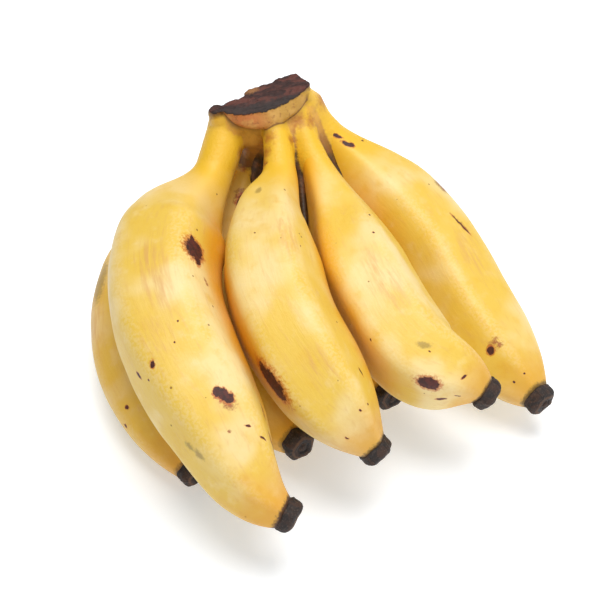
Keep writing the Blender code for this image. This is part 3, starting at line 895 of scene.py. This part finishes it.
def crownMaterial():
    material, tree, shader = newMaterial("crownSkin")
    place = centimetres(tree)
    cut, crease, web = readMask(tree, "cut"), readMask(tree, "crease"), readMask(tree, "web")
    lengthwise, across = readMask(tree, "lengthwise"), readMask(tree, "across")
    skin = useGroup(tree, ripeSkin, {
        "Place": place, "Straight": place, "Along": readMask(tree, "along"), "Ridge": 0.0, "Bruise": 9.0,
        "Streaks": 0.0, "GapShade": 0.0})
    grain = cloud(tree, place, 7.0, 5.0, 0.65).outputs["Fac"]
    broad = cloud(tree, place, 2.2, 3.0, 0.55).outputs["Fac"]
    ragged = minus(tree, grain, 0.5)

    # brown webs between the necks, with painted shade that darkens them the deeper they reach into the
    # crevices
    depth = readMask(tree, "webShadeDepth")
    webMask = rise(tree, plus(tree, web, times(tree, ragged, 3.0)), 1.3, -0.6)
    webColor = tint(tree, rise(tree, depth, 0.05, 0.6), crownTones["web"], crownTones["webCreviceShade"])
    webColor = tint(tree, rise(tree, broad, 0.45, 0.65, 0.0, 0.5), webColor, crownTones["webBlotch"])
    webAmount = times(tree, webMask, rise(tree, depth, 0.0, 0.3, 0.65, 0.97))
    shade = tint(tree, webAmount, skin["Color"], webColor)

    # rusty stains where the necks were rubbed
    stains = [(surfacePlace(name, share, degrees), (0.0, 0.0, 0.0), (size / 10,) * 3)
              for name, share, degrees, size in crownStains]
    stain = plus(tree, nearestSpot(tree, place, stains), times(tree, ragged, 1.8))
    shade = tint(tree, rise(tree, stain, 1.5, 0.0, 0.0, 0.75), shade, crownTones["stain"])

    # the lip in front goes from orange-tan to olive-yellow
    lip = tint(tree, rise(tree, lengthwise, -7.0, 6.0), crownTones["lipLeft"], crownTones["lipRight"])
    lip = tint(tree, rise(tree, broad, 0.48, 0.66, 0.0, 0.6), lip, crownTones["lipPale"])
    lip = tint(tree, rise(tree, grain, 0.52, 0.70, 0.0, 0.6), lip, crownTones["lipBrown"])
    inFront = rise(tree, across, 1.0, -2.5)
    onLip = times(tree, rise(tree, crease, 0.2, -0.3), inFront)
    shade = tint(tree, onLip, shade, lip)

    # painted shade below the lip, brown and most on the left, and a thin dark line of painted shade in the
    # crease
    under = times(tree, rise(tree, crease, 3.4, 0.2), rise(tree, crease, -0.1, 0.3))
    under = times(tree, under, rise(tree, lengthwise, 2.0, -9.0, 0.3, 0.85))
    shade = tint(tree, times(tree, under, inFront), shade, crownTones["under"])
    nearCrease = calc(tree, "ABSOLUTE", plus(tree, crease, times(tree, ragged, 0.5)))
    creaseShadeMask = times(tree, rise(tree, nearCrease, 0.55, 0.15, 0.0, 0.75), inFront)
    shade = tint(tree, creaseShadeMask, shade, crownTones["crease"])

    # a brown dry rim below the cut
    rim = rise(tree, plus(tree, cut, times(tree, ragged, 3.0)), 4.0, 0.8)
    rim = times(tree, rim, minus(tree, 1.0, onLip))
    shade = tint(tree, times(tree, rim, 0.8), shade, crownTones["rim"])

    # the dry cut: black-grey along the front, maroon fibres behind, a tan patch at the back
    along = readMask(tree, "cutPlace", "Vector")
    dry = useGroup(tree, driedFibre, {
        "Place": along, "Dark": crownTones["cutDark"], "Warm": crownTones["cutWarm"],
        "Ash": crownTones["cutAsh"], "Wear": 0.25})
    frontEdge = rise(tree, plus(tree, across, times(tree, ragged, 7.0)), 0.5, -3.5)
    cutColor = tint(tree, times(tree, frontEdge, 0.8), dry["Color"], crownTones["cutFront"])
    tanMiddle = crownMiddle + crownAxes @ np.array((-3.8, 4.4, 0.0)) + bunchPlace
    tanMiddle = tuple(float(v) / 10 for v in tanMiddle)
    tanPatch = useGroup(tree, spotReach, {
        "Place": place, "Middle": tanMiddle, "Turn": (0.0, 0.0, 0.3), "Size": (0.34, 0.16, 0.3)})["Distance"]
    tanMask = rise(tree, plus(tree, tanPatch, times(tree, ragged, 1.6)), 1.2, 0.5, 0.0, 0.8)
    cutColor = tint(tree, tanMask, cutColor, crownTones["cutTan"])
    hollows = rise(tree, cloud(tree, along, 3.0, 5.0, 0.65, 0.4).outputs["Fac"], 0.44, 0.34)
    cutColor = tint(tree, times(tree, hollows, 0.8), cutColor, crownTones["cutHollow"])
    cutMask = rise(tree, plus(tree, cut, times(tree, ragged, 1.4)), 1.05, 0.65)
    shade = tint(tree, cutMask, shade, cutColor)
    rough = plus(tree, skin["Roughness"], times(tree, cutMask, 0.32))
    height = plus(tree, skin["Height"], times(tree, dry["Height"], cutMask))
    finishSurface(tree, shader, shade, rough, height, 0.0006, 0.8)
    return material

def buildCrown():
    even = crownStart()
    count = len(even.vertices)
    points = np.empty(count * 3, np.float32)
    even.vertices.foreach_get("co", points)
    points = points.reshape(-1, 3).astype(float)
    edges = np.empty(len(even.edges) * 2, np.int32)
    even.edges.foreach_get("vertices", edges)
    edges = edges.reshape(-1, 2)
    faces = [list(face.vertices) for face in even.polygons]
    bpy.data.meshes.remove(even)
    points = settleOnSurface(points, edges, 7)
    parts = crownDistance(points)[1]
    gaps, webGaps, local = parts["gaps"], parts["webGaps"], parts["local"]
    row = np.arange(count)
    nearest, second = np.sort(gaps, axis=0)[:2]
    web = np.minimum(webGaps.min(0) - nearest, second - nearest - 0.2)
    closestWeb = webGaps.argmin(0)
    # how strongly each web takes the painted crevice shade
    darkness = np.array([dark for dark, line in webs])[closestWeb]
    masks = dict(
        cut=-parts["face"], crease=parts["crease"], web=web,
        webShadeDepth=parts["webAlongs"][closestWeb, row] * darkness,
        lengthwise=local[:, 0], across=local[:, 1], along=parts["alongs"][gaps.argmin(0), row],
        cutPlace=local * (0.035, 0.1, 0.1))
    mesh = makeMesh("crownSkin", points, faces, masks)
    showPiece("crownSkin", mesh, crownMaterial(), "crown")
    print("crown ready:", count, "points, highest", round(float(points[:, 2].max()), 2), "mm")

buildCrown()

# ---- floor, light and camera
studio = dict(
    floorSize=4.0, floorDrop=0.00005, floorColor=(0.87, 0.89, 0.93, 1.0), floorGlow=0.30,
    glowColor=(0.84, 0.94, 1.0, 1.0), worldDim=0.18, worldBright=0.88, brightSide=(0.72, -0.69, 0.0),
    keyPlace=(0.04, 0.16, 1.40), keyAim=(0, 0, 0.03), keySize=1.0, keyPower=16.4, keyTone=(1.0, 0.99, 0.97))
view = dict(elevation=48.0, distance=0.6, lens=94.3, aim=(-0.0070, 0.0171, 0.0310))

def buildFloor():
    shape = bmesh.new()
    bmesh.ops.create_grid(shape, x_segments=8, y_segments=8, size=studio["floorSize"] / 2)
    mesh = bpy.data.meshes.new("floor")
    shape.to_mesh(mesh)
    shape.free()
    floor = bpy.data.objects.new("floor", mesh)
    floor.location.z = -studio["floorDrop"]
    bpy.context.scene.collection.objects.link(floor)
    material, tree, shader = newMaterial("paper")
    grain = cloud(tree, centimetres(tree), 3.0, 3.0).outputs["Fac"]
    feed(tree, shader.inputs["Base Color"], studio["floorColor"])
    feed(tree, shader.inputs["Roughness"], rise(tree, grain, 0.3, 0.7, 0.85, 0.95))
    shader.inputs["Emission Color"].default_value = studio["glowColor"]
    shader.inputs["Emission Strength"].default_value = studio["floorGlow"]
    mesh.materials.append(material)

def addKey():
    light = bpy.data.lights.new("key", "AREA")
    light.shape = "DISK"
    light.size = studio["keySize"]
    light.energy = studio["keyPower"]
    light.color = studio["keyTone"]
    key = bpy.data.objects.new("key", light)
    key.location = studio["keyPlace"]
    heading = Vector(studio["keyAim"]) - Vector(studio["keyPlace"])
    key.rotation_euler = heading.to_track_quat("-Z", "Y").to_euler()
    bpy.context.scene.collection.objects.link(key)

def buildStudio():
    buildFloor()
    world = bpy.data.worlds.new("studio")
    bpy.context.scene.world = world
    world.use_nodes = True
    tree = world.node_tree
    background = tree.nodes["Background"]
    # the studio is brighter in front and on the right
    around = addNode(tree, "TexCoord").outputs["Generated"]
    slanted = vectorCalc(tree, "DOT_PRODUCT", around, studio["brightSide"], output="Value")
    level = rise(tree, slanted, -0.9, 0.9, studio["worldDim"], studio["worldBright"])
    feed(tree, background.inputs["Strength"], level)
    background.inputs["Color"].default_value = (1.0, 1.0, 1.0, 1.0)
    addKey()
    bpy.context.scene.view_settings.view_transform = "Standard"

def buildCamera():
    data = bpy.data.cameras.new("camera")
    data.lens = view["lens"]
    data.sensor_width = 36.0
    data.clip_start = 0.01
    data.clip_end = 20.0
    camera = bpy.data.objects.new("camera", data)
    lift = math.radians(view["elevation"])
    outward = Vector((0, -math.cos(lift), math.sin(lift)))
    camera.location = Vector(view["aim"]) + outward * view["distance"]
    camera.rotation_euler = (math.pi / 2 - lift, 0.0, 0.0)
    bpy.context.scene.collection.objects.link(camera)
    bpy.context.scene.camera = camera

buildStudio()
buildCamera()
print("studio ready")
